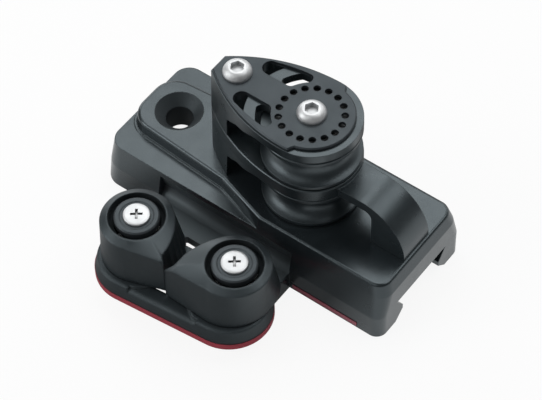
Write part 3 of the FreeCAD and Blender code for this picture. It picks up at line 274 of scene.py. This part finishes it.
def make_world():
    """White to the camera, dimmer in reflections, and an even fill for the light."""
    world = bpy.data.worlds.new("Studio")
    bpy.context.scene.world = world
    tree = empty_tree(world)
    direct, seen = add_ray_kinds(tree)
    ray = split(tree, tree.nodes.new("ShaderNodeTexCoord").outputs["Generated"])
    dome = add_range(tree, ray["Z"], DOME_Z, (MIRROR_HORIZON, MIRROR_OVERHEAD))
    behind = add_range(tree, ray["Y"], BACKDROP_Y, (0, MIRROR_BACKDROP))
    mirror = add_math(tree, "MAXIMUM", dome, behind)
    fill = add_plain_shader(tree, "ShaderNodeBackground", WORLD_TINT, WORLD_FILL)
    white = add_plain_shader(tree, "ShaderNodeBackground", WHITE,
                             add_math(tree, "MAXIMUM", direct, mirror))
    finish_tree(tree, "ShaderNodeOutputWorld", seen, fill, white)


def make_floor():
    """A pale floor that looks white and keeps a faint shadow; in reflections it is dim beside the
    part as painted shade, and bright past its ends.
    """
    bpy.ops.mesh.primitive_plane_add(size=FLOOR_SIZE, location=(0, 0, 0))
    floor = bpy.context.object
    floor.name = "floor"
    material = bpy.data.materials.new("floor")
    tree = empty_tree(material)
    direct, seen = add_ray_kinds(tree)
    place = split(tree, tree.nodes.new("ShaderNodeTexCoord").outputs["Object"])
    # Painted shade: in reflections the floor is dim between the two ends of the part
    left, right = [add_range(tree, place["X"], band, (MIRROR_FLOOR_END, MIRROR_FLOOR))
                   for band in (FLOOR_LEFT_X, FLOOR_RIGHT_X)]
    mirror = add_math(tree, "MAXIMUM", left, right)
    matt = add_plain_shader(tree, "ShaderNodeBsdfDiffuse", FLOOR_COLOUR)
    glow = add_plain_shader(tree, "ShaderNodeEmission", WHITE,
                            add_math(tree, "MAXIMUM", direct, mirror))
    share = add_math(tree, "MULTIPLY", seen, FLOOR_GLOW)
    finish_tree(tree, "ShaderNodeOutputMaterial", share, matt, glow)
    floor.data.materials.append(material)


# Finishes

SPECULAR_TINT = (0.80, 0.94, 1.0, 1)
# Scale and detail of the noises: soft clouds of tone, smaller patches of gloss, turned lines
CLOUD_SCALE, CLOUD_DETAIL = 70.0, 3.0
PATCH_SCALE, PATCH_DETAIL = 182.0, 5.0
LINE_SCALE, FINE_DETAIL = 2600.0, 2.0
# Fading at the edge of a round well and of a block, in mm
WELL_FADE = 0.15
BLOCK_FADE = 0.5
# Open share of the surroundings (ambient occlusion) from which a crevice starts to clear, and at
# which it is clear: of its painted shade, and of its dull gloss
PAINTED_SHADE_BAND = (0.15, 0.75)
DUST_BAND = (0.15, 0.60)
DUST_ROUGHNESS = 0.9
SHADER_SAMPLES = 6


def add_turned_lines(tree, place, centre):
    """Fine lines left by turning: noise over the distance from the axis and the height."""
    section = tree.nodes.new("ShaderNodeCombineXYZ")
    feed(tree, add_radius(tree, place, centre), section.inputs["X"])
    feed(tree, split(tree, place)["Z"], section.inputs["Y"])
    return add_noise(tree, section.outputs[0], LINE_SCALE, FINE_DETAIL)


def add_well(tree, place, centre, radius):
    """1 within a radius in mm of an upright axis, fading to 0."""
    band = (radius * MM, (radius + WELL_FADE) * MM)
    return add_range(tree, add_radius(tree, place, centre), band, (1, 0))


def add_block(tree, place, low, high):
    """1 inside a box given in mm, fading to 0."""
    parts = split(tree, place)
    inside = 1.0
    for axis, start, end in zip("XYZ", low, high):
        for edge, beyond in ((start, start - BLOCK_FADE), (end, end + BLOCK_FADE)):
            step = add_range(tree, parts[axis], (beyond * MM, edge * MM), (0, 1))
            inside = add_math(tree, "MULTIPLY", inside, step)
    return inside


def add_patch(tree, inside, look, tone, dullness):
    """Another tone and a duller gloss where inside is 1: painted shade in the wells, painted light
    in the casting's recess.
    """
    colour, roughness = look
    colour = add_mixed(tree, inside, colour, (*tone, 1))
    dull = add_math(tree, "MULTIPLY", inside, dullness)
    return colour, add_math(tree, "MAXIMUM", roughness, dull)


def finish_of(name, dark, light, rough, metallic=0.0, specular=0.5, edge=0.25, grain=1400.0,
              depth=0.004, crevice=0.35, reach=1.6, centre=None, lines=0.0, well=None, block=None):
    """A finish: two close tones in soft clouds, uneven roughness, fine grain, eased edges, and
    painted shade in crevices, which are also duller. Edge, depth, reach and lines are in mm. Lines
    are turned marks about the upright axis at the centre. Well is (radius, tone, roughness) of a
    patch round that axis, used for painted shade, and block is (low corner, high corner, tone,
    roughness) of a patch in a box, used for painted light."""
    material = bpy.data.materials.new(name)
    material.use_nodes = True
    tree = material.node_tree
    sockets = tree.nodes["Principled BSDF"].inputs
    feed(tree, metallic, sockets["Metallic"])
    feed(tree, specular, sockets["Specular IOR Level"])
    feed(tree, WHITE if metallic else SPECULAR_TINT, sockets["Specular Tint"])

    place = tree.nodes.new("ShaderNodeTexCoord").outputs["Object"]
    clouds = add_noise(tree, place, CLOUD_SCALE, CLOUD_DETAIL)
    patches = add_noise(tree, place, PATCH_SCALE, PATCH_DETAIL)
    look = add_blend(tree, clouds, dark, light), add_range(tree, patches, CLOUD_BAND, rough)
    # Painted shade in a well round the axis, and painted light in a block
    if well:
        look = add_patch(tree, add_well(tree, place, centre, well[0]), look, *well[1:])
    if block:
        look = add_patch(tree, add_block(tree, place, *block[:2]), look, *block[2:])
    colour, roughness = look

    # Painted shade: ambient occlusion darkens the colour in crevices, down to the crevice share,
    # and makes them rougher
    hollow = tree.nodes.new("ShaderNodeAmbientOcclusion")
    hollow.samples = SHADER_SAMPLES
    feed(tree, reach * MM, hollow.inputs["Distance"])
    shade = add_blend(tree, hollow.outputs["AO"], (crevice,) * 3, (1, 1, 1), PAINTED_SHADE_BAND)
    dust = add_range(tree, hollow.outputs["AO"], DUST_BAND, (DUST_ROUGHNESS, 0))
    feed(tree, add_mixed(tree, 1, colour, shade, "MULTIPLY"), sockets["Base Color"])
    feed(tree, add_math(tree, "MAXIMUM", roughness, dust), sockets["Roughness"])

    ease = tree.nodes.new("ShaderNodeBevel")
    ease.samples = SHADER_SAMPLES
    feed(tree, edge * MM, ease.inputs["Radius"])
    fine = add_noise(tree, place, grain, FINE_DETAIL)
    normal = add_bump(tree, fine, depth * MM, ease.outputs["Normal"])
    if lines:
        normal = add_bump(tree, add_turned_lines(tree, place, centre), lines * MM, normal)
    feed(tree, normal, sockets["Normal"])
    return material


MOULDED_DARK = (0.0100, 0.0135, 0.0155)
MOULDED_LIGHT = (0.0135, 0.0175, 0.0200)
# Painted shade: a near-black tone in the countersink round the casting's hole and in the wells
# under the cam caps
PAINTED_WELL_SHADE = (0.004, 0.005, 0.006)
# Painted light: a lighter tone of the casting in its recess with the arm
PAINTED_RECESS_LIGHT = (0.042, 0.050, 0.054)
# The casting's recess with the arm, which gets painted light, as two corners in mm, and the radii
# of the wells, which get painted shade, in mm
RECESS_LOW = (9.2, -54.0, 0.0)
RECESS_HIGH = (64.0, -20.4, 17.2)
HOLE_WELL_RADIUS = 8.5
CAM_WELL_RADIUS = 9.75

# crevice is the share to which painted shade darkens a finish's colour in its crevices
FINISHES = {
    "casting": dict(dark=(0.0110, 0.0145, 0.0165), light=(0.0150, 0.0190, 0.0215),
                    rough=(0.20, 0.28), specular=0.90, edge=0.45, grain=1800.0, crevice=0.3,
                    centre=(0, 0), well=(HOLE_WELL_RADIUS, PAINTED_WELL_SHADE, 0.60),
                    block=(RECESS_LOW, RECESS_HIGH, PAINTED_RECESS_LIGHT, 0.50)),
    "stripe": dict(dark=(0.36, 0.030, 0.050), light=(0.41, 0.036, 0.058), rough=(0.34, 0.44)),
    "block_frame": dict(dark=MOULDED_DARK, light=MOULDED_LIGHT, rough=(0.26, 0.34),
                        specular=1.0, edge=0.35, crevice=0.2, reach=3.0),
    "side_plate": dict(dark=(0.0200, 0.0235, 0.0275), light=(0.0250, 0.0290, 0.0340),
                       rough=(0.36, 0.46), specular=0.65, edge=0.3),
    "acetal": dict(dark=(0.80, 0.81, 0.80), light=(0.88, 0.88, 0.86), rough=(0.30, 0.40),
                   crevice=0.6),
    "sheave": dict(dark=MOULDED_DARK, light=MOULDED_LIGHT, rough=(0.32, 0.40), specular=0.90,
                   edge=0.3, lines=0.003),
    "bearing_metal": dict(dark=(0.55, 0.56, 0.57), light=(0.62, 0.63, 0.64), rough=(0.25, 0.35),
                          metallic=1.0),
    "stainless": dict(dark=(0.66, 0.675, 0.685), light=(0.74, 0.755, 0.76), rough=(0.44, 0.54),
                      metallic=1.0, edge=0.2, depth=0.002, lines=0.004, crevice=0.06),
    "cleat_body": dict(dark=(0.0130, 0.0170, 0.0195), light=(0.0170, 0.0215, 0.0245),
                       rough=(0.44, 0.54), specular=0.80, edge=1.2),
    "cam": dict(dark=(0.0140, 0.0180, 0.0205), light=(0.0180, 0.0225, 0.0255),
                rough=(0.34, 0.44), specular=0.80, edge=1.2,
                well=(CAM_WELL_RADIUS, PAINTED_WELL_SHADE, 0.95)),
    "cap": dict(dark=(0.030, 0.034, 0.038), light=(0.038, 0.043, 0.048), rough=(0.42, 0.52),
                specular=0.70, edge=0.4, lines=0.003),
}

# What differs on some nodes from the finish of their slot
# Painted shade: bolt heads and the thrust ring in the side plate's holes are darkened deeper and
# wider in their crevices
BOLT_HEAD = dict(crevice=0.5, reach=2.4)
NODE_FINISHES = {
    "centre_bolt": BOLT_HEAD,
    "tail_bolt": BOLT_HEAD,
    "thrust_ring": dict(crevice=0.05, reach=3.5),
    "stripe_label": dict(dark=(0.47, 0.11, 0.15), light=(0.53, 0.14, 0.18)),
}


def middle_of(node):
    low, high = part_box(node)
    return [(a + b) / 2 for a, b in zip(low, high)]


def dress_nodes():
    """Give each CAD node the finish of its material slot. A finish with turned marks or a well is
    made for each node by itself, round the node's joint or middle."""
    joints = {joint["child"]: joint["pos_m"] for joint in frame["record"]["behaviour"]["joints"]}
    made = {}
    for part in frame["record"]["subparts"]:
        node, name = part["node"], part["material_slot"]
        options = {**FINISHES[name], **NODE_FINISHES.get(node, {})}
        centred = (options.get("lines") or options.get("well")) and "centre" not in options
        if centred:
            options["centre"] = joints.get(node) or middle_of(node)
        if centred or node in NODE_FINISHES:
            name = name + "_" + node
        if name not in made:
            made[name] = finish_of(name, **options)
        materials = nodes[node].data.materials
        materials.clear()
        materials.append(made[name])


# The cam screws, made again with a domed edge and a tapered cross. Sizes are in mm.

SHARP_ANGLE = math.radians(30)
SCREW_SEGMENTS = 96
SCREW_SHANK_RADIUS = 2.5
SCREW_HEAD_RADIUS = 4.6
SCREW_HEAD_HEIGHT = 1.1
# The domed edge, from its foot to the flat: how far in from the head's radius, and below its top
SCREW_CROWN = ((0.0, 0.45), (0.14, 0.20), (0.42, 0.06), (1.0, 0.0))
CROSS_LENGTH = 4.9
CROSS_WIDTH = 1.0
CROSS_DEPTH = 0.95
# Size of the cross at its foot, as a share of its size at the head's top
CROSS_TAPER = 0.7
# Turns the cross upright in the photograph's view
CROSS_TURN = math.radians(38)


def new_piece(name, vertices, faces):
    mesh = bpy.data.meshes.new(name)
    mesh.from_pydata(vertices, [], faces)
    mesh.update()
    return place_object(name, mesh)


def turned_piece(name, profile, x, y):
    """A closed turned piece from (radius, height) points; its ends close in a flat face."""
    count = SCREW_SEGMENTS
    turns = [2 * math.pi * i / count for i in range(count)]
    vertices = [(x + radius * MM * math.cos(turn), y + radius * MM * math.sin(turn), height * MM)
                for radius, height in profile for turn in turns]
    faces = []
    for low in range(0, (len(profile) - 1) * count, count):
        for i in range(count):
            after = (i + 1) % count
            faces.append((low + i, low + after, low + count + after, low + count + i))
    faces.append(tuple(reversed(range(count))))
    faces.append(tuple(range(len(vertices) - count, len(vertices))))
    return new_piece(name, vertices, faces)


def cross_piece(name, x, y, top):
    """The cutter for a cross recess: as deep as the recess and as far above the head's top."""
    arm, tip = CROSS_WIDTH / 2, CROSS_LENGTH / 2
    corners = [(arm, arm), (arm, tip), (-arm, tip), (-arm, arm), (-tip, arm), (-tip, -arm),
               (-arm, -arm), (-arm, -tip), (arm, -tip), (arm, -arm), (tip, -arm), (tip, arm)]
    turn = Matrix.Rotation(CROSS_TURN, 3, "Z")
    vertices = []
    for size, height in ((CROSS_TAPER, top - CROSS_DEPTH), (1, top + CROSS_DEPTH)):
        for a, b in corners:
            corner = turn @ Vector((a * size, b * size, 0))
            vertices.append((x + corner.x * MM, y + corner.y * MM, height * MM))
    count = len(corners)
    faces = [(i, (i + 1) % count, count + (i + 1) % count, count + i) for i in range(count)]
    faces += [tuple(reversed(range(count))), tuple(range(count, 2 * count))]
    return new_piece(name, vertices, faces)


def cut_away(piece, cutter):
    """Cut the cutter out of a piece, and shade the result smooth between its sharp edges."""
    cut = piece.modifiers.new("cut", "BOOLEAN")
    cut.object = cutter
    cut.solver = "EXACT"
    evaluated = piece.evaluated_get(bpy.context.evaluated_depsgraph_get())
    shaped = bpy.data.meshes.new_from_object(evaluated)
    shaped.shade_smooth()
    shaped.set_sharp_from_angle(angle=SHARP_ANGLE)
    piece.modifiers.clear()
    piece.data = shaped
    bpy.data.objects.remove(cutter)


def make_screw(node):
    """A cam screw in place of its CAD node, with that node's finish, foot and top."""
    x, y, _ = middle_of(node)
    foot, top = [corner[2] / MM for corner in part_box(node)]
    seat = top - SCREW_HEAD_HEIGHT
    shank = [(SCREW_SHANK_RADIUS, foot), (SCREW_SHANK_RADIUS, seat), (SCREW_HEAD_RADIUS, seat)]
    crown = [(SCREW_HEAD_RADIUS - inward, top - drop) for inward, drop in SCREW_CROWN]
    piece = turned_piece(node + "_dressed", shank + crown, x, y)
    cut_away(piece, cross_piece(node + "_cutter", x, y, top))
    piece.data.materials.clear()
    piece.data.materials.append(nodes[node].data.materials[0])
    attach(piece, "base")
    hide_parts(node)


make_camera()
make_world()
make_floor()
for lamp_name, lamp_values in LAMPS.items():
    make_lamp(lamp_name, *lamp_values)
dress_nodes()
for screw_node in ("left_cam_screw", "right_cam_screw"):
    make_screw(screw_node)

bpy.context.scene.view_settings.view_transform = "Standard"
